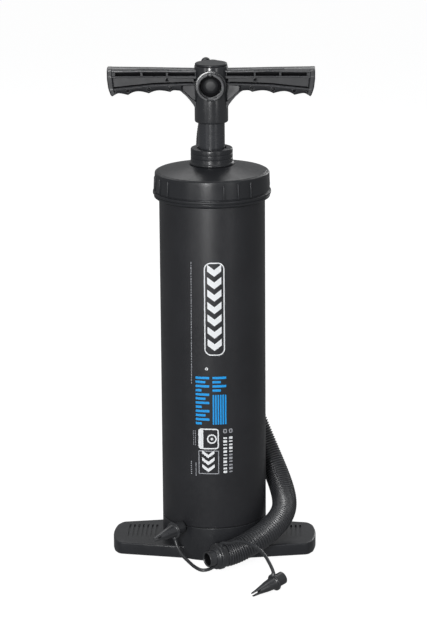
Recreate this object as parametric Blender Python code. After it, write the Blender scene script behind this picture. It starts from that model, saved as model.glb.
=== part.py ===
"""Double action hand pump: a standing barrel on a winged foot, with a hollow piston rod, a T handle and an air hose.

Metres, +Z up, -Y is the front. The origin is the centre of the foot's underside, on the barrel's axis.
The handle is modelled pushed down. Air moves through the plunger: the inner tube and the space round it,
inside the rod, join the handle's two ports to the valves in the piston.
"""
import math

import bmesh
import bpy
from mathutils import Matrix, Vector

MM = 0.001
GAP = 0.3 * MM  # clearance between separate pieces

# Driving dimensions
BARREL_R = 50.6 * MM
BORE_R = 48.3 * MM
SPIGOT_R = BORE_R - GAP
FOOT_COLLAR_H = 33.2 * MM
BARREL_TOP = 371.5 * MM
CAP_LIP_Z = 350.6 * MM
CAP_RIM_R = 54.4 * MM
CAP_RIM_Z = 376.3 * MM
CAP_CONE_Z = 382.8 * MM
GLAND_R = 20.05 * MM
GLAND_TOP = 398.7 * MM
ROD_R = 12.6 * MM
ROD_BORE_R = 10.9 * MM
AIR_TUBE_R = 6.5 * MM
AIR_TUBE_BORE_R = 5.2 * MM
HUB_R = 15.9 * MM
HUB_BOTTOM = 423.4 * MM
PORT_Z = 460.0 * MM
HANDLE_DEPTH = 15.0 * MM
STROKE = 240.0 * MM
FOOT_HALF = 99.5 * MM
WING_H = 12.0 * MM
CUSPS = ((93.4, 447.8), (78.6, 449.2), (58.8, 450.8), (38.6, 452.1))  # finger grip, front view, mm
SCALLOP_TOPS = (451.2, 453.4, 454.2, 453.8)
HOSE_R = 12.6 * MM
TETHER_R = 1.65 * MM
VALVE_RING_R = 30.0 * MM

# Piston stack, from the foot upwards
BUFFER_TOP = 41.5 * MM
PISTON_BOTTOM = BUFFER_TOP + GAP
PISTON_SPLIT = 51.0 * MM
PISTON_TOP = 62.0 * MM
ROD_SEAT = 58.0 * MM
GUIDE_BOTTOM = 348.0 * MM
STOP_TOP = GUIDE_BOTTOM - GAP - STROKE

BIG_STEPS = 48
SMALL_STEPS = 24
TINY_STEPS = 12

# Free hose and tethers: the points that each centreline passes through, from its root outwards
HOSE_ROUTE = [Vector(p) * MM for p in (
    (0, 56, 435.4), (-0.2, 56.3, 423), (-3.6, 61, 406), (-5.8, 67.5, 386), (-5, 71.7, 355),
    (-2.4, 74, 320), (3, 76, 260), (11.5, 75, 200), (24, 70, 150), (38, 60, 112), (51.7, 46, 81),
    (64, 26, 56), (69, 5, 42), (65.8, -17, 35), (54, -38.5, 27.5), (38.5, -53.5, 20.8),
    (27.8, -59.6, 16.4), (19.9, -64.4, 14), (12, -69, 13.5))]
CUFF_CENTRE = Vector((7.7, -72.0, 13.2)) * MM
CUFF_AXIS = Vector((-0.818, -0.573, -0.05)).normalized()
TETHER_RIGHT_ROUTE = [Vector(p) * MM for p in (
    (9.4, -75.7, 25.9), (11.2, -78, 28.4), (17.5, -82.5, 29.7), (24.3, -87, 33.1),
    (32.1, -92, 34.2), (39.8, -98.5, 33.2), (46.6, -105.5, 31), (51.7, -113, 28),
    (55.3, -121.5, 24.8), (58, -128, 21.5), (59.5, -132.3, 18.7))]
TETHER_LEFT_ROUTE = [Vector(p) * MM for p in (
    (1, -76.7, 3.2), (-2.6, -79.4, 2.3), (-6.6, -81.4, 2), (-11.5, -80.6, 2.1), (-17.5, -75.5, 3.7),
    (-23.2, -69, 6.4), (-29, -63, 10.2), (-33.3, -58.5, 15.7), (-35.3, -56.2, 20.2))]
NOZZLE_RIGHT_AT = Vector((60.5, -131.9, 8.8)) * MM
NOZZLE_RIGHT_AXIS = Vector((-0.726, -0.657, -0.201)).normalized()
NOZZLE_LEFT_AT = Vector((-37.5, -54.5, 32.6)) * MM
NOZZLE_LEFT_AXIS = Vector((-0.645, -0.76, -0.085)).normalized()
NOTCH_TURN = -63.0  # degrees about a nozzle's own axis


# ---------------------------------------------------------------- helpers

def clear_scene():
    for obj in list(bpy.data.objects):
        bpy.data.objects.remove(obj)


def make_material(name, colour, roughness, metallic=0.0):
    material = bpy.data.materials.new(name)
    material.use_nodes = True
    shader = material.node_tree.nodes["Principled BSDF"]
    shader.inputs["Base Color"].default_value = (*colour, 1.0)
    shader.inputs["Roughness"].default_value = roughness
    shader.inputs["Metallic"].default_value = metallic
    return material


def face_outwards(bm):
    """Turns every face outwards, at a thousand times the size, where small faces are told apart better."""
    bmesh.ops.scale(bm, vec=(1 / MM,) * 3, verts=bm.verts)
    bmesh.ops.recalc_face_normals(bm, faces=bm.faces)
    bmesh.ops.scale(bm, vec=(MM,) * 3, verts=bm.verts)


def make_object(name, bm, material, parent=None):
    """Turns a bmesh into a named object with smooth round faces and sharp edges."""
    face_outwards(bm)
    mesh = bpy.data.meshes.new(name)
    bm.to_mesh(mesh)
    bm.free()
    mesh.shade_smooth()
    mesh.set_sharp_from_angle(angle=math.radians(30))
    obj = bpy.data.objects.new(name, mesh)
    bpy.context.scene.collection.objects.link(obj)
    if material is not None:
        mesh.materials.append(material)
    if parent is not None:
        obj.parent = parent
    return obj


def place(obj, location, axis=None):
    """Puts an object at a point, with its own +Z along axis."""
    obj.location = location
    if axis is not None:
        obj.rotation_mode = "QUATERNION"
        obj.rotation_quaternion = Vector(axis).to_track_quat("Z", "Y")
    return obj


def spin_profile(profile_mm, steps, start_deg=0.0):
    """Solid of revolution about Z. The profile is a loop of (radius, height) points in millimetres.
    A Boolean's helper starts at an angle of its own, so that its edges don't run along its target's."""
    bm = bmesh.new()
    verts = [bm.verts.new((r * MM, 0.0, z * MM)) for r, z in profile_mm]
    edges = []
    for i, vert in enumerate(verts):
        following = verts[(i + 1) % len(verts)]
        if vert.co.x > 0 or following.co.x > 0:
            edges.append(bm.edges.new((vert, following)))
    bmesh.ops.spin(bm, geom=verts + edges, cent=(0, 0, 0), axis=(0, 0, 1), angle=math.tau,
                   steps=steps, use_merge=True, use_duplicate=False)
    bmesh.ops.remove_doubles(bm, verts=bm.verts, dist=1e-6)
    bmesh.ops.rotate(bm, matrix=Matrix.Rotation(math.radians(start_deg), 3, "Z"), verts=bm.verts)
    return bm


def turned(name, profile_mm, material, parent, steps=SMALL_STEPS):
    return make_object(name, spin_profile(profile_mm, steps), material, parent)


def extrude_outline(points, axis_vector):
    """Closed prism: a flat outline swept along a vector."""
    bm = bmesh.new()
    face = bm.faces.new([bm.verts.new(p) for p in points])
    top = bmesh.ops.extrude_face_region(bm, geom=[face])["geom"]
    bmesh.ops.translate(bm, vec=axis_vector, verts=[v for v in top if isinstance(v, bmesh.types.BMVert)])
    return bm


def add_box(bm, centre, size):
    """Adds a separate box to a bmesh, for cutters that hold many boxes."""
    matrix = Matrix.Translation(centre) @ Matrix.Diagonal((*size, 1.0))
    bmesh.ops.create_cube(bm, size=1.0, matrix=matrix)


def combine(target, name, bm, operation):
    """Applies a helper solid to an object with a Boolean; the helper itself is never shown."""
    helper = make_object(name, bm, None)
    helper.hide_render = True
    helper.display_type = "WIRE"
    modifier = target.modifiers.new(name, "BOOLEAN")
    modifier.operation = operation
    modifier.object = helper
    return helper


def arc(centre, radius, start_deg, end_deg, count):
    """Points on an arc, both ends included."""
    for i in range(count):
        angle = math.radians(start_deg + (end_deg - start_deg) * i / (count - 1))
        yield centre[0] + radius * math.cos(angle), centre[1] + radius * math.sin(angle)


def smooth_route(points, spacing):
    """Evenly spaced points on a smooth curve through the given points."""
    dense = []
    padded = [2 * points[0] - points[1]] + list(points) + [2 * points[-1] - points[-2]]
    for before, a, b, after in zip(padded, padded[1:], padded[2:], padded[3:]):
        for k in range(24):
            t = k / 24
            dense.append(0.5 * ((2 * a) + (b - before) * t + (2 * before - 5 * a + 4 * b - after) * t * t
                                + (3 * a - before - 3 * b + after) * t * t * t))
    dense.append(points[-1])
    lengths = [0.0]
    for a, b in zip(dense, dense[1:]):
        lengths.append(lengths[-1] + (b - a).length)
    count = max(2, round(lengths[-1] / spacing))
    result, k = [], 0
    for i in range(count + 1):
        wanted = lengths[-1] * i / count
        while k < len(lengths) - 2 and lengths[k + 1] < wanted:
            k += 1
        share = (wanted - lengths[k]) / (lengths[k + 1] - lengths[k])
        result.append(dense[k].lerp(dense[k + 1], share))
    return result


def flexible_tube(name, route, radius, spacing, resolution, material, parent):
    """A plain solid tube along a route: a curve with a round bevel and filled caps."""
    curve = bpy.data.curves.new(name, "CURVE")
    curve.dimensions = "3D"
    curve.bevel_depth = radius
    curve.bevel_resolution = resolution
    curve.use_fill_caps = True
    points = smooth_route(route, spacing)
    spline = curve.splines.new("POLY")
    spline.points.add(len(points) - 1)
    for spline_point, point in zip(spline.points, points):
        spline_point.co = (*point, 1.0)
    obj = bpy.data.objects.new(name, curve)
    bpy.context.scene.collection.objects.link(obj)
    curve.materials.append(material)
    obj.parent = parent
    return obj


def swept_shell(name, stations, material, parent, steps=16):
    """A hollow bent tube. Each station is (centre, direction, radius); the list runs along the outside
    and back along the bore, and the last station joins the first."""
    bm = bmesh.new()
    rings = []
    for centre, direction, radius in stations:
        side = Vector((1, 0, 0))
        across = direction.cross(side).normalized()
        rings.append([bm.verts.new(centre + radius * (side * math.cos(math.tau * k / steps)
                                                      + across * math.sin(math.tau * k / steps)))
                      for k in range(steps)])
    for ring, following in zip(rings, rings[1:] + rings[:1]):
        for k in range(steps):
            n = (k + 1) % steps
            bm.faces.new((ring[k], ring[n], following[n], following[k]))
    return make_object(name, bm, material, parent)


# ---------------------------------------------------------------- foot and barrel

def wing_outline():
    """Plan of the foot: a bar that narrows outwards, cut by a circle about the barrel's axis."""
    root_half_depth, slope, corner = 48.5 * MM, 0.208, 7.0 * MM
    quarter = []
    end_y = 29.0 * MM
    corner_x = math.sqrt(FOOT_HALF ** 2 - end_y ** 2)
    end_angle = math.degrees(math.atan2(end_y - corner * 0.9, corner_x))
    quarter += list(arc((0, 0), FOOT_HALF, 0, end_angle, 5))
    quarter += list(arc((corner_x - corner * 1.05, end_y - corner * 0.62), corner, 35, 78, 3))
    start_x = 30.0 * MM
    quarter.append((start_x, root_half_depth - slope * start_x))
    upper = quarter + [(-x, y) for x, y in reversed(quarter)]
    lower = [(x, -y) for x, y in reversed(upper) if y > 0]
    return [Vector((x, y, 0)) for x, y in upper + lower]


def foot_pockets():
    """Weight-saving pockets in the foot's underside: eight sectors in the collar and four in each wing."""
    bm = bmesh.new()
    inner, outer, rib_half = 11.0 * MM, 46.0 * MM, 1.6 * MM
    depth = FOOT_COLLAR_H - 3.5 * MM
    for k in range(8):
        middle = math.radians(22.5 + 45 * k)
        points = []
        for radius, side in ((inner, -1), (outer, -1), (outer, 1), (inner, 1)):
            half = math.radians(22.5) - math.asin(rib_half / radius)
            points.append((radius, middle + side * half))
            if radius == outer and side == -1:
                points += [(radius, middle - half / 3), (radius, middle + half / 3)]
        corners = [bm.verts.new((r * math.cos(a), r * math.sin(a), -1 * MM)) for r, a in points]
        sector = bmesh.ops.extrude_face_region(bm, geom=[bm.faces.new(corners)])["geom"]
        bmesh.ops.translate(bm, vec=(0, 0, depth + 1 * MM),
                            verts=[v for v in sector if isinstance(v, bmesh.types.BMVert)])
    for side in (-1, 1):
        for x, length in ((64.0, 19.0), (85.0, 16.0)):
            for y in (-11.5, 11.5):
                add_box(bm, Vector((side * x, y, 3.5)) * MM, Vector((length, 20.0, 12.0)) * MM)
    return bm


def wing_grooves():
    """Grip grooves across the top of each wing."""
    bm = bmesh.new()
    first, pitch, count = 57.5 * MM, 4.45 * MM, 7
    for side in (-1, 1):
        for k in range(count):
            add_box(bm, Vector((side * (first + pitch * k), 5 * MM, WING_H)),
                    Vector((1.8, 34.0, 2.0)) * MM)
    return bm


def make_foot(plastic, parent):
    edge = 0.8
    collar = BARREL_R / MM
    shoulder = FOOT_COLLAR_H / MM
    spigot = SPIGOT_R / MM
    foot = turned("foot_base", [
        (0, 0), (collar - edge, 0), (collar, edge), (collar, shoulder), (spigot, shoulder),
        (spigot, 35.2), (spigot - 1.6, 35.2), (spigot - 1.6, 38.4), (spigot, 38.4),
        (spigot, 41.0), (45.2, 41.0), (45.2, shoulder), (0, shoulder)], plastic, parent, BIG_STEPS)
    wings = extrude_outline(wing_outline(), (0, 0, WING_H))
    top = [e for e in wings.edges if all(v.co.z > WING_H / 2 for v in e.verts)]
    bmesh.ops.bevel(wings, geom=top, offset=1.3 * MM, segments=2, profile=0.5, affect="EDGES")
    combine(foot, "wings_tool", wings, "UNION")
    combine(foot, "pockets_tool", foot_pockets(), "DIFFERENCE")
    combine(foot, "grooves_tool", wing_grooves(), "DIFFERENCE")
    return foot


def make_barrel(plastic, rubber, parent):
    outer, bore, top = BARREL_R / MM, BORE_R / MM, BARREL_TOP / MM
    base = (FOOT_COLLAR_H + GAP) / MM
    turned("barrel_tube", [(outer, base), (outer, top), (bore, top), (bore, base)],
           plastic, parent, BIG_STEPS)
    groove = SPIGOT_R / MM - 1.3
    for name, low, high in (("base_seal_ring", 35.5, 38.1), ("cap_seal_ring", 366.3, 368.9)):
        turned(name, [(groove, low), (groove + 1.2, low), (groove + 1.2, high), (groove, high)],
               rubber, parent, BIG_STEPS)
    turned("bottom_buffer", [(22, 33.5), (32, 33.5), (32, BUFFER_TOP / MM), (22, BUFFER_TOP / MM)],
           rubber, parent)


# ---------------------------------------------------------------- cap and gland

def cap_ribs():
    """Grip ribs on the cap's skirt, in four groups of three."""
    bm = bmesh.new()
    for group in range(4):
        for step in (-1, 0, 1):
            angle = math.radians(-90 + 27 + 90 * group + 15 * step)
            outward = Vector((math.cos(angle), math.sin(angle), 0))
            matrix = (Matrix.Translation(outward * 54.6 * MM + Vector((0, 0, 366)) * MM)
                      @ Matrix.Rotation(angle, 4, "Z") @ Matrix.Diagonal((2.6 * MM, 1.6 * MM, 15 * MM, 1)))
            bmesh.ops.create_cube(bm, size=1.0, matrix=matrix)
    return bm


def make_cap(plastic, rubber, parent):
    lip, top = CAP_LIP_Z / MM, BARREL_TOP / MM + 0.3
    inner = BARREL_R / MM + 0.3
    spigot = SPIGOT_R / MM
    rim_r, rim_z = CAP_RIM_R / MM, CAP_RIM_Z / MM
    cap = turned("top_cap", [
        (14.2, 350.0), (14.2, 392.0), (17.0, 392.0), (17.0, CAP_CONE_Z / MM), (rim_r - 1.2, rim_z + 0.2),
        (rim_r, rim_z - 1.0), (55.3, 358.8), (56.5, 357.8), (56.5, 355.4), (54.8, 354.6),
        (54.8, 351.6), (53.4, lip), (inner, lip), (inner, top), (spigot, top), (spigot, 369.2),
        (spigot - 1.6, 369.2), (spigot - 1.6, 366.0), (spigot, 366.0), (spigot, 362.5),
        (45.4, 362.5), (45.4, 374.4), (19.2, 378.5), (19.2, 350.0)], plastic, parent, BIG_STEPS)
    combine(cap, "cap_ribs_tool", cap_ribs(), "UNION")
    gland, gland_top = GLAND_R / MM, GLAND_TOP / MM
    turned("gland_nut", [
        (17.3, 383.2), (21.0, 383.2), (21.0, 384.6), (gland, 385.4), (gland, gland_top - 1.0),
        (gland - 1.0, gland_top), (13.8, gland_top), (13.8, 395.6), (17.3, 395.6)], plastic, parent)
    turned("rod_seal", [(12.95, 392.3), (17.0, 392.3), (17.0, 395.3), (12.95, 395.3)], rubber, parent)


def make_rod_guide(plastic, parent):
    low = GUIDE_BOTTOM / MM
    turned("rod_guide", [(12.95, low), (18.5, low), (18.5, 349.7), (13.85, 349.7), (13.85, 391.6),
                         (12.95, 391.6)], plastic, parent)


# ---------------------------------------------------------------- plunger

def valve_tools(upward):
    """Pockets for two valve discs and four screw holes, for one half of the piston."""
    bm = bmesh.new()
    if upward:
        pocket = [(0, 50), (2.5, 50), (2.5, 57), (6.0, 57), (6.0, 61), (4.5, 61), (4.5, 63), (0, 63)]
        hole = [(0, 50), (2.3, 50), (2.3, 63), (0, 63)]
    else:
        pocket = [(0, 41), (4.5, 41), (4.5, 42.8), (6.0, 42.8), (6.0, 46.8), (2.5, 46.8), (2.5, 52), (0, 52)]
        hole = [(0, 43.5), (2.3, 43.5), (2.3, 52), (0, 52)]
    shapes = [(pocket, angle) for angle in valve_angles(upward)] + [(hole, 90 * k) for k in range(4)]
    for profile, angle in shapes:
        tool = spin_profile(profile, TINY_STEPS, 3.7)
        bmesh.ops.translate(tool, vec=around(VALVE_RING_R, angle), verts=tool.verts)
        mesh = bpy.data.meshes.new("tool")
        tool.to_mesh(mesh)
        tool.free()
        bm.from_mesh(mesh)
        bpy.data.meshes.remove(mesh)
    return bm


def valve_angles(upward):
    return (45, 225) if upward else (135, 315)


def around(radius, degrees, height=0.0):
    angle = math.radians(degrees)
    return Vector((radius * math.cos(angle), radius * math.sin(angle), height))


def make_piston(plastic, rubber, steel, parent):
    outer = 47.9
    split, top, bottom = PISTON_SPLIT / MM, PISTON_TOP / MM, PISTON_BOTTOM / MM
    bolt_hole = AIR_TUBE_R / MM + 0.3
    seat = ROD_SEAT / MM
    lower = turned("piston_lower", [
        (14.0, bottom), (outer, bottom), (outer, 47.5), (44.0, 47.5), (44.0, split),
        (bolt_hole, split), (bolt_hole, 49.0), (14.0, 49.0)], plastic, parent, BIG_STEPS)
    combine(lower, "piston_lower_tool", valve_tools(False), "DIFFERENCE")
    upper = turned("piston_upper", [
        (bolt_hole, split + 0.3), (44.0, split + 0.3), (44.0, 54.3), (outer, 54.3), (outer, top - 1.5),
        (outer - 1.5, top), (16.5, top), (16.5, 66.0), (12.95, 66.0), (12.95, seat),
        (bolt_hole, seat)], plastic, parent, BIG_STEPS)
    combine(upper, "piston_upper_tool", valve_tools(True), "DIFFERENCE")
    turned("piston_seal", [(44.3, 47.8), (47.6, 47.8), (48.0, 50.9), (47.6, 54.0), (44.3, 54.0)],
           rubber, parent, BIG_STEPS)
    for k in range(4):
        screw = turned(f"piston_screw_{k + 1}", [
            (0, 44.0), (2.0, 44.0), (2.0, top + 0.3), (3.7, top + 0.3), (3.7, top + 2.2),
            (2.6, top + 2.9), (0, top + 2.9)], steel, parent, TINY_STEPS)
        place(screw, around(VALVE_RING_R, 90 * k))
    turned("rod_nut", [(7.9, 42.4), (12.0, 42.4), (12.0, 48.6), (7.9, 48.6)], steel, parent, 6)


def make_valves(rubber, parents):
    """Four loose discs. Each rests on the floor of its pocket and lifts off it."""
    disc_r, thickness = 5.6, 1.6
    for name, upward, index in (("intake_valve_upper", True, 0), ("delivery_valve_upper", True, 1),
                                ("intake_valve_lower", False, 0), ("delivery_valve_lower", False, 1)):
        disc = turned(name, [(0, 0), (disc_r, 0), (disc_r, thickness), (0, thickness)],
                      rubber, None, TINY_STEPS)
        floor = 57.0 if upward else 42.8
        at = around(VALVE_RING_R, valve_angles(upward)[index], floor * MM + GAP)
        parent = parents[name]
        parent.location = at
        disc.parent = parent


def make_rod(steel, plastic, rubber, parent):
    seat = ROD_SEAT / MM + 0.3
    turned("rod_tube", [(ROD_BORE_R / MM, seat), (ROD_R / MM, seat), (ROD_R / MM, 441.3),
                        (ROD_BORE_R / MM, 441.3)], plastic, parent)
    turned("inner_air_tube", [(AIR_TUBE_BORE_R / MM, 43.0), (AIR_TUBE_R / MM, 43.0),
                              (AIR_TUBE_R / MM, 451.0), (AIR_TUBE_BORE_R / MM, 451.0)],
           steel, parent, TINY_STEPS)
    stop = STOP_TOP / MM
    turned("stop_sleeve", [(12.95, 66.3), (16.2, 66.3), (16.2, stop - 2.9), (12.95, stop - 2.9)],
           plastic, parent)
    turned("stop_buffer", [(12.95, stop - 2.6), (17.5, stop - 2.6), (17.5, stop), (12.95, stop)],
           rubber, parent)


# ---------------------------------------------------------------- handle

def arm_outline():
    """Front view of the right arm, in millimetres: bar, flared end, finger scallops and gusset."""
    points = [(12, 474.0), (40, 474.8), (60, 475.3), (90, 475.8), (96.8, 476.0), (98.2, 474.6),
              (98.2, 465.0), (97.1, 457.0), (95.2, 450.4)]
    gusset_start, gusset_bend, gusset_end = (30.0, 453.3), (22.0, 449.6), (14.5, 436.5)
    starts = list(CUSPS)
    ends = list(CUSPS[1:]) + [gusset_start]
    for (x0, z0), (x1, z1), top in zip(starts, ends, SCALLOP_TOPS):
        points.append((x0, z0))
        for t in (0.2, 0.5, 0.8):
            bow = 1 - (2 * t - 1) ** 2
            level = z0 + (z1 - z0) * t
            points.append((x0 + (x1 - x0) * t, level + (top - level) * bow))
    points.append(gusset_start)
    for t in (0.25, 0.5, 0.75, 1.0):
        points.append(tuple((1 - t) ** 2 * a + 2 * t * (1 - t) * b + t * t * c
                            for a, b, c in zip(gusset_start, gusset_bend, gusset_end)))
    return points


def arms_solid():
    right = arm_outline()
    left = [(-x, z) for x, z in reversed(right)]
    points = [Vector((x * MM, -HANDLE_DEPTH / 2, z * MM)) for x, z in right + left]
    return extrude_outline(points, (0, HANDLE_DEPTH, 0))


def arm_pockets():
    """Slots, long panels and gusset webs sunk into the front and back of both arms."""
    bm = bmesh.new()
    half = HANDLE_DEPTH / 2
    slots = ((66.9, 90.3), (42.8, 64.5), (18.5, 40.5))
    for side in (-1, 1):
        for face in (-1, 1):
            for x0, x1 in slots:
                add_box(bm, Vector((side * (x0 + x1) / 2 * MM, face * half, 470.2 * MM)),
                        Vector(((x1 - x0) * MM, 11 * MM, 3.2 * MM)))
            panel = [(18.2, 461.5), (52, 460.1), (88.7, 456.5), (91.3, 460.0), (92.2, 465.9),
                     (55, 466.6), (18.4, 465.9)]
            web = [(17.6, 455.6), (25.6, 455.4), (21.2, 451.4), (17.6, 446.0)]
            for outline, depth in ((panel, 2.0 * MM), (web, 3.5 * MM)):
                start = [Vector((side * x * MM, face * (half + 1 * MM), z * MM)) for x, z in outline]
                corners = [bm.verts.new(p) for p in start]
                prism = bmesh.ops.extrude_face_region(bm, geom=[bm.faces.new(corners)])["geom"]
                bmesh.ops.translate(bm, vec=(0, -face * (depth + 1 * MM), 0),
                                    verts=[v for v in prism if isinstance(v, bmesh.types.BMVert)])
    return bm


def port_tool():
    """The passage through both ports: a wide counterbore at each end and a narrow hole between."""
    bm = spin_profile([(0, -18), (10.2, -18), (10.2, -12.8), (4.0, -12.8), (4.0, 12.8), (10.2, 12.8),
                       (10.2, 18), (0, 18)], SMALL_STEPS, 4.3)
    bmesh.ops.rotate(bm, matrix=Matrix.Rotation(math.radians(90), 3, "X"), verts=bm.verts)
    bmesh.ops.translate(bm, vec=(0, 0, PORT_Z), verts=bm.verts)
    return bm


def make_handle(plastic, steel, parent):
    hub = HUB_R / MM
    bottom, top = HUB_BOTTOM / MM, 477.5
    handle = turned("handle_body", [(0, bottom), (hub - 0.9, bottom), (hub, bottom + 0.9),
                                    (hub - 0.4, top), (0, top)], plastic, parent)
    combine(handle, "arms_tool", arms_solid(), "UNION")
    boss = spin_profile([(0, -16.2), (14.0, -16.2), (14.6, -15.6), (14.6, 15.6), (14.0, 16.2), (0, 16.2)],
                        SMALL_STEPS, 2.1)
    bmesh.ops.rotate(boss, matrix=Matrix.Rotation(math.radians(90), 3, "X"), verts=boss.verts)
    bmesh.ops.translate(boss, vec=(0, 0, PORT_Z), verts=boss.verts)
    combine(handle, "port_boss_tool", boss, "UNION")
    bore = spin_profile([(0, bottom - 2), (12.95, bottom - 2), (12.95, 441.6), (11.0, 441.6),
                         (11.0, top + 1), (0, top + 1)], SMALL_STEPS, 5.2)
    combine(handle, "hub_bore_tool", bore, "DIFFERENCE")
    combine(handle, "port_bore_tool", port_tool(), "DIFFERENCE")
    combine(handle, "arm_pockets_tool", arm_pockets(), "DIFFERENCE")
    screws = bmesh.new()
    for side in (-1, 1):
        hole = bmesh.ops.create_cone(screws, cap_ends=True, segments=TINY_STEPS, radius1=1.6 * MM,
                                     radius2=1.6 * MM, depth=6 * MM)["verts"]
        bmesh.ops.rotate(screws, matrix=Matrix.Rotation(math.radians(90), 3, "X"), verts=hole)
        bmesh.ops.translate(screws, vec=(0, side * 15 * MM, 431 * MM), verts=hole)
    combine(handle, "cross_hole_tool", screws, "DIFFERENCE")
    turned("hub_top_cap", [(0, 471.0), (10.6, 471.0), (10.6, top + 0.3), (15.2, top + 0.3),
                           (15.2, 479.3), (14.4, 480.0), (0, 480.0)], plastic, parent)
    for name, side in (("handle_screw_1", -1), ("handle_screw_2", 1)):
        screw = turned(name, [(0, 0), (1.3, 0), (1.3, 2.7), (0, 2.7)], steel, parent, TINY_STEPS)
        place(screw, Vector((0, side * 12.95 * MM, 431 * MM)), (0, side, 0))


def make_ports(plastic, rubber, parent):
    """Bayonet rings on the front and rear ports, and the domed stub in the front one."""
    for name, side in (("front_port_collar", -1), ("rear_port_collar", 1)):
        ring = turned(name, [(10.5, 0), (12.9, 0), (12.9, 7.0), (12.4, 7.5), (11.0, 7.5), (10.5, 7.0)],
                      plastic, parent)
        place(ring, Vector((0, side * 16.5 * MM, PORT_Z)), (0, side, 0))
        notch = bmesh.new()
        add_box(notch, Vector((0, side * 22.5 * MM, PORT_Z)), Vector((5.0, 8.0, 40.0)) * MM)
        combine(ring, f"{name}_tool", notch, "DIFFERENCE")
    plug = turned("front_port_plug", [(0, 0), (7.3, 0), (7.3, 0.9), (6.9, 1.9), (4.6, 2.9), (0, 3.4)],
                  rubber, parent)
    place(plug, Vector((0, -13.1 * MM, PORT_Z)), (0, -1, 0))


# ---------------------------------------------------------------- hose and nozzles

def make_elbow(plastic, parent):
    """Rigid elbow in the rear port: a plug, a body that turns down and a socket for the hose."""
    stations = []
    bend_centre, bend_r = Vector((0, 38, 442)) * MM, 18.0 * MM

    def on_bend(degrees, radius):
        a = math.radians(degrees)
        direction = Vector((0, math.cos(a), -math.sin(a)))
        centre = bend_centre + bend_r * Vector((0, math.sin(a), math.cos(a)))
        stations.append((centre, direction, radius * MM))

    def straight(y, radius):
        stations.append((Vector((0, y * MM, PORT_Z)), Vector((0, 1, 0)), radius * MM))

    down = Vector((0, 0, -1))
    for y, radius in ((13.2, 9.7), (24.3, 9.7), (24.3, 12.6), (33.0, 12.6), (34.0, 15.6)):
        straight(y, radius)
    for degrees in (0, 22.5, 45, 67.5, 90):
        on_bend(degrees, 15.8)
    for radius in (15.8, 6.5):
        stations.append((Vector((0, 56, 436.4)) * MM, down, radius * MM))
    for degrees in (90, 67.5, 45, 22.5, 0):
        on_bend(degrees, 6.5)
    straight(13.2, 6.5)
    elbow = swept_shell("hose_elbow", stations, plastic, parent)
    lug = spin_profile([(0, 25.5), (4.2, 25.5), (4.8, 26.3), (4.8, 33.0), (0, 33.0)], TINY_STEPS)
    bmesh.ops.rotate(lug, matrix=Matrix.Rotation(math.radians(-90), 3, "X"), verts=lug.verts)
    bmesh.ops.translate(lug, vec=Vector((-6, 0, 474.8)) * MM, verts=lug.verts)
    combine(elbow, "elbow_lug_tool", lug, "UNION")


def make_hose_end(plastic, parent):
    cuff = turned("hose_end_cuff", [
        (7.8, -3.6), (11.6, -3.6), (12.6, -3.0), (12.6, 2.6), (12.0, 3.4), (10.6, 3.4), (10.6, 4.6),
        (11.0, 5.0), (11.0, 7.2), (10.4, 7.8), (7.8, 7.8)], plastic, parent)
    place(cuff, CUFF_CENTRE, CUFF_AXIS)
    connector = turned("hose_connector", [(6.1, -2.5), (7.5, -2.5), (7.5, 14.6), (6.9, 15.2), (6.1, 15.2)],
                       plastic, parent)
    place(connector, CUFF_CENTRE, CUFF_AXIS)


def make_nozzles(plastic, parent):
    """Two tapered nozzles: rear plug, flange, cone and a notch across the tip."""
    for name, at, axis in (("nozzle_right", NOZZLE_RIGHT_AT, NOZZLE_RIGHT_AXIS),
                           ("nozzle_left", NOZZLE_LEFT_AT, NOZZLE_LEFT_AXIS)):
        nozzle = turned(name, [
            (1.2, -11.0), (5.8, -11.0), (6.2, -10.4), (6.2, -1.1), (8.0, -1.1), (8.2, -0.8), (8.2, 0.8),
            (8.0, 1.1), (5.8, 1.1), (4.9, 11.0), (2.2, 28.0), (1.2, 28.0)], plastic, parent, 16)
        place(nozzle, at, axis)
        notch = bmesh.new()
        add_box(notch, (0, 0, 28.0 * MM), (1.6 * MM, 9 * MM, 17 * MM))
        bmesh.ops.rotate(notch, matrix=Matrix.Rotation(math.radians(NOTCH_TURN), 3, "Z"), verts=notch.verts)
        place(combine(nozzle, f"{name}_notch_tool", notch, "DIFFERENCE"), at, axis)


def make_empty(name, parent=None):
    empty = bpy.data.objects.new(name, None)
    bpy.context.scene.collection.objects.link(empty)
    empty.parent = parent
    return empty


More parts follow.
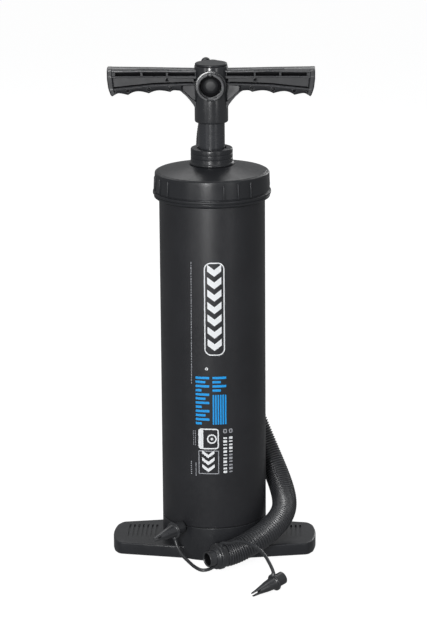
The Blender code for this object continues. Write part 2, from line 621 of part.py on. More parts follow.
def main():
    clear_scene()
    black = make_material("black_plastic", (0.022, 0.023, 0.026), 0.42)
    satin = make_material("satin_barrel", (0.026, 0.027, 0.030), 0.38)
    soft = make_material("soft_hose", (0.024, 0.025, 0.028), 0.48)
    natural = make_material("guide_plastic", (0.75, 0.75, 0.72), 0.40)
    rubber = make_material("seal_rubber", (0.015, 0.015, 0.016), 0.65)
    steel = make_material("bright_steel", (0.55, 0.56, 0.58), 0.30, 1.0)

    barrel = make_empty("barrel_axis")
    guide = make_empty("turn_axis", barrel)
    plunger = make_empty("plunger_axis", guide)
    valve_names = ("intake_valve_upper", "delivery_valve_upper", "intake_valve_lower", "delivery_valve_lower")
    valve_axes = {name: make_empty(f"{name}_axis", plunger) for name in valve_names}

    make_foot(black, barrel)
    make_barrel(satin, rubber, barrel)
    make_cap(black, rubber, barrel)
    make_rod_guide(natural, guide)
    make_rod(steel, black, rubber, plunger)
    make_piston(natural, rubber, steel, plunger)
    make_valves(rubber, valve_axes)
    make_handle(black, steel, plunger)
    make_ports(black, rubber, plunger)
    make_elbow(black, plunger)
    flexible_tube("air_hose", HOSE_ROUTE, HOSE_R, 15 * MM, 3, soft, barrel)
    make_hose_end(black, barrel)
    flexible_tube("tether_right", TETHER_RIGHT_ROUTE, TETHER_R, 4.5 * MM, 2, soft, barrel)
    flexible_tube("tether_left", TETHER_LEFT_ROUTE, TETHER_R, 4.5 * MM, 2, soft, barrel)
    make_nozzles(black, barrel)


main()
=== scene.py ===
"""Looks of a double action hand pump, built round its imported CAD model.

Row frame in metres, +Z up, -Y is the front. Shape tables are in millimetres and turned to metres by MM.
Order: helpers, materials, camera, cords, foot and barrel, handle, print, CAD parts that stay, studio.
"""

from math import asin, atan2, ceil, cos, hypot, radians, sin, sqrt, tan, tau

import bmesh
import bpy
from mathutils import Matrix, Quaternion, Vector


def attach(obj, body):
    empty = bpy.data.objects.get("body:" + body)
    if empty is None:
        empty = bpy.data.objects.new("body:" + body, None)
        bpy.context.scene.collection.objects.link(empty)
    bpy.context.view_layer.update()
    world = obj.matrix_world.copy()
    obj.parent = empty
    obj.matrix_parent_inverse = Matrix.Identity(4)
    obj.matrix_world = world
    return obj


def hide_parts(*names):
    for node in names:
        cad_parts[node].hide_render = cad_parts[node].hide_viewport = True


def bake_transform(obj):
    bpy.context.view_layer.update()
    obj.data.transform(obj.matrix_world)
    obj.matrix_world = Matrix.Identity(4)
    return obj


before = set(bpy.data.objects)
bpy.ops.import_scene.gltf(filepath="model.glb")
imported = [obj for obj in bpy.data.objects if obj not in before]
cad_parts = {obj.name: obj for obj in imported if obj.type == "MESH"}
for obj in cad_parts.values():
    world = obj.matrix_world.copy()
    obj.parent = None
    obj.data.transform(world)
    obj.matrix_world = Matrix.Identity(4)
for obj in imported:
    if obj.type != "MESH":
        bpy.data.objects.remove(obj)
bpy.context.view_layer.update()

MM = 0.001
UP = Vector((0, 0, 1))

# Shared sizes, as in the CAD
BARREL_R = 50.6
BORE_R = 48.3
COLLAR_TOP = 33.2
BARREL_BOTTOM = 33.5
BARREL_TOP = 371.5
PORT_Z = 460.0
TETHER_R = 1.65
WING_TOP = 12.0
FOOT_RADIUS = 99.5

# Free hose and tethers, from the root outwards, the same points as the CAD's cords
HOSE_ROUTE = (
    (0, 56, 435.4), (-0.2, 56.3, 423), (-3.6, 61, 406), (-5.8, 67.5, 386), (-5, 71.7, 355),
    (-2.4, 74, 320), (3, 76, 260), (11.5, 75, 200), (24, 70, 150), (38, 60, 112), (51.7, 46, 81),
    (64, 26, 56), (69, 5, 42), (65.8, -17, 35), (54, -38.5, 27.5), (38.5, -53.5, 20.8),
    (27.8, -59.6, 16.4), (19.9, -64.4, 14), (12, -69, 13.5))
TETHER_RIGHT_ROUTE = (
    (9.4, -75.7, 25.9), (11.2, -78, 28.4), (17.5, -82.5, 29.7), (24.3, -87, 33.1),
    (32.1, -92, 34.2), (39.8, -98.5, 33.2), (46.6, -105.5, 31), (51.7, -113, 28),
    (55.3, -121.5, 24.8), (58, -128, 21.5), (59.5, -132.3, 18.7))
TETHER_LEFT_ROUTE = (
    (1, -76.7, 3.2), (-2.6, -79.4, 2.3), (-6.6, -81.4, 2), (-11.5, -80.6, 2.1), (-17.5, -75.5, 3.7),
    (-23.2, -69, 6.4), (-29, -63, 10.2), (-33.3, -58.5, 15.7), (-35.3, -56.2, 20.2))
# Cuff at the hose's end, the left strap's root inside it, and the nozzles: place and direction of the tip
CUFF_CENTRE = (7.7, -72.0, 13.2)
CUFF_AXIS = (-0.818, -0.573, -0.05)
STRAP_LEFT_ROOT = (4.6, -74.2, 2.6)
NOZZLE_RIGHT = ((60.5, -131.9, 8.8), (-0.726, -0.657, -0.201))
NOZZLE_LEFT = ((-37.5, -54.5, 32.6), (-0.645, -0.76, -0.085))
NOTCH_TURN = -63.0  # degrees that a nozzle's slot is turned about its axis

# The hose's winding ridge: pitch, radius on its crest, depth of its groove; height where its pieces meet
HOSE_PITCH = 2.6
HOSE_CREST = 12.08
HOSE_RIDGE = 1.25
HOSE_SPLIT_Z = 172.0


# ---------- helpers

def lerp(a, b, t):
    return a + (b - a) * t


def table(x, rows):
    """Linear interpolation in rows of (x, value), held flat beyond both ends."""
    if x <= rows[0][0]:
        return rows[0][1]
    for (x0, v0), (x1, v1) in zip(rows, rows[1:]):
        if x <= x1:
            return lerp(v0, v1, (x - x0) / (x1 - x0))
    return rows[-1][1]


def smoothstep(low, high, x):
    t = min(1.0, max(0.0, (x - low) / (high - low)))
    return t * t * (3 - 2 * t)


def mm(x, y, z):
    """Point given in millimetres."""
    return Vector((x, y, z)) * MM


def placement(at_mm, axis):
    """Matrix that puts a shape's own origin at a point, with its +Z along axis."""
    turn = Vector(axis).normalized().to_track_quat("Z", "Y").to_matrix().to_4x4()
    return Matrix.Translation(Vector(at_mm) * MM) @ turn


def turn_z(degrees):
    return Matrix.Rotation(radians(degrees), 4, "Z")


def face_outwards(bm):
    """Turns faces outwards at a thousand times the size, where small faces are told apart better."""
    bmesh.ops.scale(bm, vec=(1 / MM,) * 3, verts=bm.verts)
    bmesh.ops.recalc_face_normals(bm, faces=bm.faces)
    bmesh.ops.scale(bm, vec=(MM,) * 3, verts=bm.verts)


def link(obj):
    bpy.context.scene.collection.objects.link(obj)
    return obj


def smooth(mesh, sharp_deg):
    mesh.shade_smooth()
    mesh.set_sharp_from_angle(angle=radians(sharp_deg))


def mesh_object(name, bm, material=None, sharp_deg=38.0):
    face_outwards(bm)
    mesh = bpy.data.meshes.new(name)
    bm.to_mesh(mesh)
    bm.free()
    smooth(mesh, sharp_deg)
    if material is not None:
        mesh.materials.append(material)
    return link(bpy.data.objects.new(name, mesh))


def fit(obj, body, node=None):
    """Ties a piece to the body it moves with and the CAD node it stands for."""
    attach(obj, body)
    if node is not None:
        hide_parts(node)
    return obj


def add_to(bm, other):
    """Moves another bmesh's faces into bm."""
    mesh = bpy.data.meshes.new("part")
    other.to_mesh(mesh)
    other.free()
    bm.from_mesh(mesh)
    bpy.data.meshes.remove(mesh)


def moved(bm, matrix):
    bmesh.ops.transform(bm, matrix=matrix, verts=bm.verts)
    return bm


def rounded(profile, segments=5):
    """Closed profile of (r, z) or (r, z, fillet) corners in millimetres, with filleted corners rounded."""
    points = []
    count = len(profile)
    for i, corner in enumerate(profile):
        here = Vector(corner[:2])
        fillet = corner[2] if len(corner) > 2 else 0.0
        to_before = Vector(profile[i - 1][:2]) - here
        to_after = Vector(profile[(i + 1) % count][:2]) - here
        if fillet <= 0 or min(to_before.length, to_after.length) < 1e-6:
            points.append(tuple(here))
            continue
        half = to_before.angle(to_after) / 2
        cut = fillet / tan(half)
        cut = min(cut, 0.48 * to_before.length, 0.48 * to_after.length)
        start = here + to_before.normalized() * cut
        end = here + to_after.normalized() * cut
        for k in range(segments + 1):
            t = k / segments
            points.append(tuple((1 - t) ** 2 * start + 2 * t * (1 - t) * here + t * t * end))
    return points


def turned_ring(bm, outline, angle):
    """Vertices of an outline of (r, z) in millimetres, turned to an angle about Z."""
    return [bm.verts.new((r * MM * cos(angle), r * MM * sin(angle), z * MM)) for r, z in outline]


def bridge(bm, rings, skipped=()):
    """Faces between each ring of vertices and the next, but for the skipped places."""
    for ring, following in zip(rings, rings[1:]):
        for i in range(len(ring)):
            if i not in skipped:
                n = (i + 1) % len(ring)
                bm.faces.new((ring[i], following[i], following[n], ring[n]))


def revolve(profile, steps=160, start_deg=0.0):
    """Solid of revolution about Z of a closed profile; corners may carry a fillet."""
    outline = [(max(r, 0.0), z) for r, z in rounded(profile)]
    count = len(outline)
    on_axis = [i for i in range(count) if outline[i][0] < 1e-6 and outline[(i + 1) % count][0] < 1e-6]
    bm = bmesh.new()
    rings = [turned_ring(bm, outline, tau * k / steps + radians(start_deg)) for k in range(steps)]
    bridge(bm, rings + rings[:1], on_axis)
    bmesh.ops.remove_doubles(bm, verts=bm.verts, dist=1e-7)
    return bm


def revolve_arc(profile, start_deg, end_deg, steps=64):
    """Part of a turned ring, with both ends closed."""
    outline = rounded(profile, 3)
    bm = bmesh.new()
    rings = [turned_ring(bm, outline, radians(lerp(start_deg, end_deg, k / steps)))
             for k in range(steps + 1)]
    bridge(bm, rings)
    bm.faces.new(rings[0])
    bm.faces.new(list(reversed(rings[-1])))
    return bm


def prism(outline, direction):
    """Flat outline of points swept along a vector."""
    bm = bmesh.new()
    face = bm.faces.new([bm.verts.new(p) for p in outline])
    swept = bmesh.ops.extrude_face_region(bm, geom=[face])["geom"]
    bmesh.ops.translate(bm, vec=direction, verts=[g for g in swept if isinstance(g, bmesh.types.BMVert)])
    return bm


def box_mesh(centre, size):
    """Box given in millimetres."""
    bm = bmesh.new()
    bmesh.ops.create_cube(bm, size=1.0, matrix=Matrix.Translation(mm(*centre))
                          @ Matrix.Diagonal((size[0] * MM, size[1] * MM, size[2] * MM, 1)))
    return bm


def round_edges(bm, edges, radius, segments, clamp=False):
    bmesh.ops.bevel(bm, geom=list(edges), offset=radius * MM, segments=segments, profile=0.5,
                    affect="EDGES", clamp_overlap=clamp)


def boolean(target, steps):
    """Applies Booleans one after another; each step is (operation, bmesh)."""
    for operation, bm in steps:
        helper = mesh_object("helper", bm)
        modifier = target.modifiers.new("cut", "BOOLEAN")
        modifier.operation = operation
        modifier.solver = "EXACT"
        modifier.object = helper
        graph = bpy.context.evaluated_depsgraph_get()
        result = bpy.data.meshes.new_from_object(target.evaluated_get(graph))
        target.modifiers.clear()
        old = target.data
        target.data = result
        bpy.data.meshes.remove(old)
        bpy.data.objects.remove(helper)
    smooth(target.data, 32)


def smooth_route(points_mm, spacing_mm):
    """Evenly spaced points, in metres, on a smooth curve through the given points."""
    points = [Vector(p) * MM for p in points_mm]
    dense = []
    padded = [2 * points[0] - points[1]] + points + [2 * points[-1] - points[-2]]
    for before, a, b, after in zip(padded, padded[1:], padded[2:], padded[3:]):
        for k in range(24):
            t = k / 24
            dense.append(0.5 * ((2 * a) + (b - before) * t + (2 * before - 5 * a + 4 * b - after) * t * t
                                + (3 * a - before - 3 * b + after) * t * t * t))
    dense.append(points[-1])
    lengths = [0.0]
    for a, b in zip(dense, dense[1:]):
        lengths.append(lengths[-1] + (b - a).length)
    count = max(2, round(lengths[-1] / (spacing_mm * MM)))
    result, k = [], 0
    for i in range(count + 1):
        wanted = lengths[-1] * i / count
        while k < len(lengths) - 2 and lengths[k + 1] < wanted:
            k += 1
        share = (wanted - lengths[k]) / (lengths[k + 1] - lengths[k])
        result.append(dense[k].lerp(dense[k + 1], share))
    return result


def eased(points, rounds):
    """Evens out small wiggles of a route; its two end points at each end stay."""
    for _ in range(rounds):
        middle = [(a + 2 * b + c) / 4 for a, b, c in zip(points[1:], points[2:], points[3:])]
        points = points[:2] + middle[:len(points) - 4] + points[-2:]
    return points


def route_length(points):
    return sum((b - a).length for a, b in zip(points, points[1:]))


def transport_frames(points):
    """(side, up) at each point of a route, with no needless twist."""
    tangents = []
    for i in range(len(points)):
        a, b = points[max(0, i - 1)], points[min(len(points) - 1, i + 1)]
        tangents.append((b - a).normalized())
    side = tangents[0].orthogonal().normalized()
    frames = []
    for before, tangent in zip([tangents[0]] + tangents, tangents):
        side = before.rotation_difference(tangent) @ side
        side = (side - tangent * side.dot(tangent)).normalized()
        frames.append((side, tangent.cross(side)))
    return frames


def tube_rings(points, radius_at, steps):
    """Rings round a route. radius_at(distance, turn) gives the radius in metres; turn goes from 0 to 1."""
    rings, distance = [], 0.0
    for i, (point, (side, up)) in enumerate(zip(points, transport_frames(points))):
        if i:
            distance += (point - points[i - 1]).length
        ring = []
        for turn in (k / steps for k in range(steps)):
            radius = radius_at(distance, turn)
            ring.append(point + side * radius * cos(tau * turn) + up * radius * sin(tau * turn))
        rings.append(ring)
    return rings


def skin(rings):
    """Closed tube from rings, with a flat fan at each end."""
    bm = bmesh.new()
    loops = [[bm.verts.new(p) for p in ring] for ring in rings]
    steps = len(loops[0])
    bridge(bm, loops)
    for ring in (loops[0], loops[-1]):
        middle = bm.verts.new(sum((v.co for v in ring), Vector()) / steps)
        for k in range(steps):
            bm.faces.new((ring[k], ring[(k + 1) % steps], middle))
    return bm


# ---------- materials

GLOSS_SPREAD = 0.05


def wire(tree, node, values):
    """Fills a node's inputs: an output of another node is linked, anything else is set."""
    for key, value in values.items():
        if isinstance(value, bpy.types.NodeSocket):
            tree.links.new(value, node.inputs[key])
        else:
            node.inputs[key].default_value = value


def add_node(tree, kind, **values):
    """New node, with underscores for the spaces in its inputs' names."""
    node = tree.nodes.new("ShaderNode" + kind)
    wire(tree, node, {key.replace("_", " "): value for key, value in values.items()})
    return node


def noise(tree, place, scale, detail=2.0, roughness=0.5):
    node = add_node(tree, "TexNoise", Vector=place, Scale=scale, Detail=detail, Roughness=roughness)
    return node.outputs["Fac"]


def remap(tree, source, from_min, from_max, to_min, to_max):
    node = add_node(tree, "MapRange", Value=source, From_Min=from_min, From_Max=from_max,
                    To_Min=to_min, To_Max=to_max)
    return node.outputs["Result"]


def mix_colours(tree, factor, first, second):
    """Mixes two colours; each is RGBA or another node's output."""
    node = tree.nodes.new("ShaderNodeMix")
    node.data_type = "RGBA"
    wire(tree, node, {"Factor": factor, 6: first, 7: second})
    return node.outputs[2]


def shade(colour, factor, lift=0.0):
    """A colour made darker or lighter, as RGBA."""
    return (*(min(1.0, c * factor + lift) for c in colour), 1.0)


def object_place(tree):
    return add_node(tree, "TexCoord").outputs["Object"]


def new_material(name):
    """Material, its node tree and its shader."""
    material = bpy.data.materials.new(name)
    material.use_nodes = True
    return material, material.node_tree, material.node_tree.nodes["Principled BSDF"]


def moulded(name, colour, roughness, grain=0.7, relief=0.02, wear=0.35, specular=0.5):
    """Moulded plastic: cloudy gloss, slight shade drift, paler worn edges and a fine grain, whose size and
    height (relief) are in millimetres."""
    material, tree, shader = new_material(name)
    place = object_place(tree)
    clouds = noise(tree, place, 22.0, 3.0)
    scuffs = noise(tree, place, 160.0, 4.0, 0.65)
    bumps = noise(tree, place, 1.0 / (grain * MM))
    tone = remap(tree, clouds, 0.3, 0.7, 0.0, 1.0)
    base = mix_colours(tree, tone, shade(colour, 0.86), shade(colour, 1.14))
    worn = remap(tree, add_node(tree, "NewGeometry").outputs["Pointiness"], 0.52, 0.60, 0.0, wear)
    bump = add_node(tree, "Bump", Strength=0.5, Distance=relief * MM, Height=bumps)
    wire(tree, shader, {
        "Base Color": mix_colours(tree, worn, base, shade(colour, 2.6, 0.012)),
        "Roughness": remap(tree, scuffs, 0.35, 0.7, roughness - GLOSS_SPREAD, roughness + GLOSS_SPREAD),
        "Normal": bump.outputs["Normal"],
        "Specular IOR Level": specular})
    return material


def rubber(name, colour, roughness):
    """Moulded rubber: matt, with a fine bloom."""
    return moulded(name, colour, roughness, grain=0.4, relief=0.03, wear=0.15, specular=0.35)


def steel(name):
    """Drawn steel with faint lengthwise draw lines."""
    material, tree, shader = new_material(name)
    stretched = add_node(tree, "Mapping", Vector=object_place(tree), Scale=(900.0, 900.0, 18.0))
    draw_lines = noise(tree, stretched.outputs["Vector"], 1.0)
    wire(tree, shader, {
        "Base Color": mix_colours(tree, draw_lines, (0.46, 0.47, 0.49, 1.0), (0.62, 0.63, 0.65, 1.0)),
        "Roughness": remap(tree, draw_lines, 0.2, 0.8, 0.22, 0.36),
        "Metallic": 1.0})
    return material


def ink(name, colour):
    """Screen print: thin flat ink with a slightly uneven lay."""
    material, tree, shader = new_material(name)
    lay = noise(tree, object_place(tree), 500.0)
    wire(tree, shader, {
        "Base Color": mix_colours(tree, lay, shade(colour, 0.93), shade(colour, 1.0)),
        "Roughness": remap(tree, lay, 0.3, 0.7, 0.38, 0.5)})
    return material


CHARCOAL = (0.022, 0.023, 0.026)
BLACK = moulded("black_moulding", (0.021, 0.022, 0.025), 0.33, grain=0.8, relief=0.008)
SATIN = moulded("satin_barrel", (0.021, 0.0215, 0.0245), 0.40, grain=0.6, relief=0.03, wear=0.2)
GLOSSY = moulded("gloss_moulding", CHARCOAL, 0.27, grain=1.0, relief=0.002)
TEXTURED = moulded("textured_moulding", CHARCOAL, 0.46, grain=0.9, relief=0.09)
HUB = moulded("hub_moulding", CHARCOAL, 0.23, grain=1.0, relief=0.001, wear=0.2, specular=1.0)
HOSE = moulded("hose_plastic", CHARCOAL, 0.36, grain=0.5, relief=0.002, wear=0.9, specular=0.9)
FITTING = moulded("fitting_moulding", (0.028, 0.029, 0.032), 0.32, grain=0.8, relief=0.002,
                  wear=0.6, specular=1.0)
PLUG = moulded("grey_plug", (0.020, 0.021, 0.023), 0.46)
# Painted shade: a near-black matt colour laid in slots, grooves, holes, wells and bores, where shade falls
PAINTED_SHADE = moulded("painted_shade_recess", (0.006, 0.006, 0.007), 0.7, grain=0.8, wear=0.0, specular=0.1)
NATURAL = moulded("natural_guide", (0.68, 0.67, 0.63), 0.42, wear=0.1)
# Partly real, partly painted: the lower roughness is the smooth polished finish; the lighter colour is a
# painted highlight on the arms' top bands and ridges
CREST_HIGHLIGHT = moulded("polished_edge_highlight", (0.045, 0.046, 0.050), 0.30, grain=0.9, relief=0.006, specular=1.0)
# Painted highlight: a lighter grey stands for the front light's reflection on the bayonet rings' faces
PORT_RING_HIGHLIGHT = moulded("port_ring_highlight", (0.062, 0.063, 0.067), 0.34, grain=0.9, relief=0.006)
SEAL = rubber("seal_rubber_matt", (0.014, 0.014, 0.015), 0.62)
STEEL = steel("drawn_steel")
WHITE_INK = ink("white_ink", (0.96, 0.98, 1.0))
GREY_INK = ink("grey_ink", (0.42, 0.43, 0.46))
BLUE_INK = ink("blue_ink", (0.012, 0.40, 0.96))


# ---------- camera

def make_camera():
    """Long lens in front of the pump, a little above it and to its right."""
    elevation, azimuth, tilt = radians(15.1), radians(2.0), radians(-0.44)
    distance = 2.705
    right = Vector((cos(azimuth), sin(azimuth), 0))
    back = Vector((sin(azimuth) * cos(elevation), -cos(azimuth) * cos(elevation),
                   sin(elevation)))
    target = right * 0.000477 + UP * 0.2285
    data = bpy.data.cameras.new("camera")
    data.sensor_width = 36.0
    data.lens = 157.5
    data.clip_end = 200.0
    camera = link(bpy.data.objects.new("camera", data))
    camera.location = target + back * distance
    camera.rotation_mode = "QUATERNION"
    camera.rotation_quaternion = (-back).to_track_quat("-Z", "Y") @ Quaternion((0, 0, 1), tilt)
    bpy.context.scene.camera = camera


make_camera()


# ---------- cords

def ridge_radius(distance, turn):
    """Outside of the hose: one rounded ridge that winds along it, with a narrow groove between its turns."""
    phase = distance / (HOSE_PITCH * MM) - turn
    dip = 0.5 - 0.5 * cos(tau * phase)
    return (HOSE_CREST - HOSE_RIDGE * dip ** 1.6) * MM


def make_hose():
    """The air hose in two pieces that meet behind the barrel, each returned with its route."""
    coarse = eased([p / MM for p in smooth_route(HOSE_ROUTE, 3.0)], 8)
    points = smooth_route(coarse, HOSE_PITCH / 8)
    rings = tube_rings(points, ridge_radius, 48)
    split = next(i for i, p in enumerate(points) if p.z < HOSE_SPLIT_Z * MM)
    halves = []
    for name, first, last in (("hose_upper", 0, split), ("hose_lower", split, len(points) - 1)):
        obj = mesh_object(name, skin(rings[first:last + 1]), HOSE, 80)
        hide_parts("air_hose")
        path = points[first:last + 1:16]
        if path[-1] != points[last]:
            path.append(points[last])
        halves.append((obj, path))
    return halves


def flange_rim(at_mm, axis, direction):
    """Point just inside a nozzle's flange rim, on the side of the given direction."""
    axis, direction = Vector(axis).normalized(), Vector(direction)
    return Vector(at_mm) + (direction - axis * direction.dot(axis)).normalized() * 7.4


def make_tether(name, node, route, rim, root=None):
    """Moulded strap that widens at both ends; root is an extra first point inside the cuff."""
    route = ([root] if root else []) + list(route) + [tuple(rim)]
    points = smooth_route(route, 0.75)
    length = route_length(points)

    def radius_at(distance, turn):
        near_end = min(distance, length - distance)
        return (TETHER_R + 0.75 * (1 - smoothstep(0.0, 0.0035, near_end))) * MM

    obj = mesh_object(name, skin(tube_rings(points, radius_at, 24)), HOSE)
    return fit(obj, "barrel", node), points


def make_cuff():
    """Cuff at the hose's loose end and the connector tube in it, with painted shade inside its mouth: a dark
    lining and a dark disc.
    """
    cuff = [(7.8, -3.6), (11.6, -3.6, 0.6), (11.8, -0.6, 0.4), (12.3, -0.2, 0.3), (12.6, 0.4, 0.4),
            (12.6, 3.8, 0.7), (11.8, 4.4, 0.4), (9.6, 4.5, 0.6), (9.0, 5.6, 0.5), (8.8, 7.7, 0.5),
            (7.8, 7.7)]
    tube = [(6.1, -2.5), (7.4, -2.5), (7.4, 13.0, 1.0), (7.55, 13.8, 0.4), (7.55, 15.2, 0.6),
            (6.6, 15.2, 0.4), (6.1, 14.6)]
    bore = [(5.5, -2.3), (6.05, -2.3), (6.05, 14.2), (5.5, 13.6)]
    depth = [(0, -2.3), (5.45, -2.3), (5.45, -1.3), (0, -1.3)]
    turn = placement(CUFF_CENTRE, CUFF_AXIS)
    return [fit(mesh_object(name, moved(revolve(profile, steps), turn), material), "barrel", node)
            for name, node, profile, steps, material in (
                ("hose_cuff", "hose_end_cuff", cuff, 96, FITTING),
                ("connector_tube", "hose_connector", tube, 96, FITTING),
                # Painted shade: a dark lining and a dark disc inside the connector's mouth
                ("connector_bore_shade", None, bore, 96, PAINTED_SHADE), ("connector_depth_shade", None, depth, 64, PAINTED_SHADE))]


def make_nozzle(name, node, at, axis):
    """Tapered nozzle: hollow rear plug, flange, stepped cone and a slot across the tip."""
    bm = revolve([
        (0, -6.0), (4.6, -6.0), (4.6, -11.0, 0.4), (6.1, -11.0, 0.6), (6.2, -1.1), (6.4, -1.1),
        (8.2, -1.1, 0.5), (8.2, 1.1, 0.5), (6.6, 1.1, 0.3), (6.2, 1.6, 0.4), (5.9, 3.2, 1.2),
        (5.0, 10.6, 2.5), (3.2, 20.0, 6.0), (2.1, 27.9, 0.3), (1.1, 27.9, 0.2), (1.1, 15.0), (0, 15.0)], 72)
    nozzle = mesh_object(name, bm, FITTING)
    slot = moved(box_mesh((0, 0, 24.4), (1.6, 9.0, 9.6)), turn_z(NOTCH_TURN))
    boolean(nozzle, [("DIFFERENCE", slot)])
    nozzle.data.transform(placement(at, axis))
    return fit(nozzle, "barrel", node)


def make_cords():
    (upper, upper_path), (lower, lower_path) = make_hose()
    end_pieces = make_cuff()
    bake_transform(upper)
    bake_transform(lower)
    sides = (("right", TETHER_RIGHT_ROUTE, NOZZLE_RIGHT, (0, 0, 1), None),
             ("left", TETHER_LEFT_ROUTE, NOZZLE_LEFT, (0.1, 0, -1), STRAP_LEFT_ROOT))
    nozzles = [make_nozzle("spout_" + side, "nozzle_" + side, *seat) for side, _, seat, _, _ in sides]
    for nozzle, (side, route, seat, lean, root) in zip(nozzles, sides):
        strap, path = make_tether("strap_" + side, "tether_" + side, route, flange_rim(*seat, lean), root)


make_cords()


# ---------- foot and barrel

def wing_outline():
    """Plan of the foot: a bar that narrows outwards, cut by a circle about the barrel's axis."""
    root_half_depth, slope, corner, end_y = 48.5, 0.208, 7.0, 29.0
    corner_x = sqrt(FOOT_RADIUS ** 2 - end_y ** 2)
    end_angle = atan2(end_y - corner * 0.9, corner_x)
    corner_at = (corner_x - corner * 1.05, end_y - corner * 0.62)
    arcs = [(0, 0, FOOT_RADIUS, end_angle * k / 8) for k in range(9)]
    arcs += [(*corner_at, corner, radians(lerp(35, 78, k / 6))) for k in range(7)]
    quarter = [(x + radius * cos(angle), y + radius * sin(angle)) for x, y, radius, angle in arcs]
    quarter.append((30.0, root_half_depth - slope * 30.0))
    upper = quarter + [(-x, y) for x, y in reversed(quarter)]
    lower = [(x, -y) for x, y in reversed(upper) if y > 0]
    return [mm(x, y, 0) for x, y in upper + lower]


def wing_solid():
    bm = prism(wing_outline(), UP * WING_TOP * MM)
    top = [e for e in bm.edges if all(v.co.z > WING_TOP * MM / 2 for v in e.verts)]
    round_edges(bm, top, 1.5, 5)
    low = [e for e in bm.edges if all(v.co.z < 0.1 * MM for v in e.verts)]
    round_edges(bm, low, 0.6, 2)
    return bm


def foot_pockets():
    """Weight-saving pockets in the foot's underside."""
    bm = bmesh.new()
    inner, outer, rib_half = 11.0 * MM, 46.0 * MM, 1.6 * MM
    for k in range(8):
        middle = radians(22.5 + 45 * k)
        points = []
        for radius, side in ((inner, -1), (outer, -1), (outer, 1), (inner, 1)):
            half = radians(22.5) - asin(rib_half / radius)
            points.append((radius, middle + side * half))
            if radius == outer and side == -1:
                points += [(radius, middle + half * share) for share in (-0.6, -0.2, 0.2, 0.6)]
        outline = [Vector((r * cos(a), r * sin(a), -1 * MM)) for r, a in points]
        add_to(bm, prism(outline, UP * 30.7 * MM))
    for side in (-1, 1):
        for x, length in ((64.0, 19.0), (85.0, 16.0)):
            for y in (-11.5, 11.5):
                add_to(bm, box_mesh((side * x, y, 3.5), (length, 20.0, 12.0)))
    return bm


def wing_grooves():
    """Seven grip grooves with rounded ends across the top of each wing."""
    width, length, first, pitch, depth, middle_y = 1.8, 34.0, 57.5, 4.45, 1.5, 5.0
    bm = bmesh.new()
    for side in (-1, 1):
        for k in range(7):
            x = side * (first + pitch * k)
            outline = []
            for end in (1, -1):
                for j in range(7):
                    angle = radians(lerp(0, 180, j / 6))
                    y = middle_y + end * (length / 2 - width / 2) + end * width / 2 * sin(angle)
                    outline.append(mm(x + end * width / 2 * cos(angle), y, WING_TOP - depth))
            add_to(bm, prism(outline, UP * 2 * depth * MM))
    return bm


def make_foot():
    """Foot with a collar that carries the barrel, and two grooved wings."""
    spigot, groove, lip = BORE_R - 0.3, BORE_R - 1.9, 45.2
    bm = revolve([
        (0, 0), (BARREL_R, 0, 0.9), (BARREL_R, COLLAR_TOP, 0.7), (spigot, COLLAR_TOP), (spigot, 35.2),
        (groove, 35.2), (groove, 38.4), (spigot, 38.4), (spigot, 41.0), (lip, 41.0), (lip, COLLAR_TOP),
        (0, COLLAR_TOP)], 192, 0.9)
    foot = mesh_object("foot", bm, BLACK)
    boolean(foot, [("UNION", wing_solid()), ("DIFFERENCE", foot_pockets()), ("DIFFERENCE", wing_grooves())])
    fit(foot, "barrel", "foot_base")


def make_barrel():
    bm = revolve([(BARREL_R, BARREL_BOTTOM, 0.9), (BARREL_R, BARREL_TOP, 0.5), (BORE_R, BARREL_TOP),
                  (BORE_R, BARREL_BOTTOM)], 256)
    fit(mesh_object("barrel_shell", bm, SATIN), "barrel", "barrel_tube")


def cap_ribs():
    """Four groups of three grip ribs round the cap's skirt, each leaning in towards its top."""
    first_group, between_ribs, rib_radius = 28.4, 14.8, 54.7
    bm = bmesh.new()
    for group in range(4):
        for step in (-1, 0, 1):
            rib = box_mesh((0, 0, 0), (3.6, 1.9, 14.8))
            round_edges(rib, rib.edges, 0.85, 4, clamp=True)
            for vert in rib.verts:
                vert.co.x += (-0.3 * MM) * (vert.co.z / (7.3 * MM))
            turn = turn_z(-90 + first_group + 90 * group + between_ribs * step)
            add_to(bm, moved(rib, turn @ Matrix.Translation(mm(rib_radius, 0, 366.0))))
    return bm


def make_cap():
    """Screw cap: shallow cone, edge band, ribbed skirt and two beads at the bottom."""
    inner, spigot = BARREL_R + 0.3, BORE_R - 0.3
    bm = revolve([
        (14.2, 350.0), (14.2, 392.0), (17.0, 392.0), (17.0, 382.8), (22.0, 382.7, 2.0), (51.9, 376.5, 0.5),
        (52.3, 376.1, 0.2), (52.9, 376.25, 0.3), (54.5, 375.4, 1.1), (54.7, 371.0, 2.0), (55.3, 358.9, 0.6),
        (54.7, 358.3, 0.3), (54.8, 357.8, 0.3), (56.5, 357.4, 0.7), (56.5, 355.2, 0.7), (54.9, 354.7, 0.3),
        (54.9, 354.2, 0.3), (55.6, 353.8, 0.4), (55.4, 352.0, 0.8), (53.2, 350.6, 0.8), (inner, 350.6),
        (inner, BARREL_TOP + 0.3), (spigot, BARREL_TOP + 0.3), (spigot, 362.5), (45.4, 362.5), (45.4, 374.4),
        (19.2, 378.5), (19.2, 350.0)], 256)
    add_to(bm, cap_ribs())
    fit(mesh_object("screw_cap", bm, BLACK), "barrel", "top_cap")


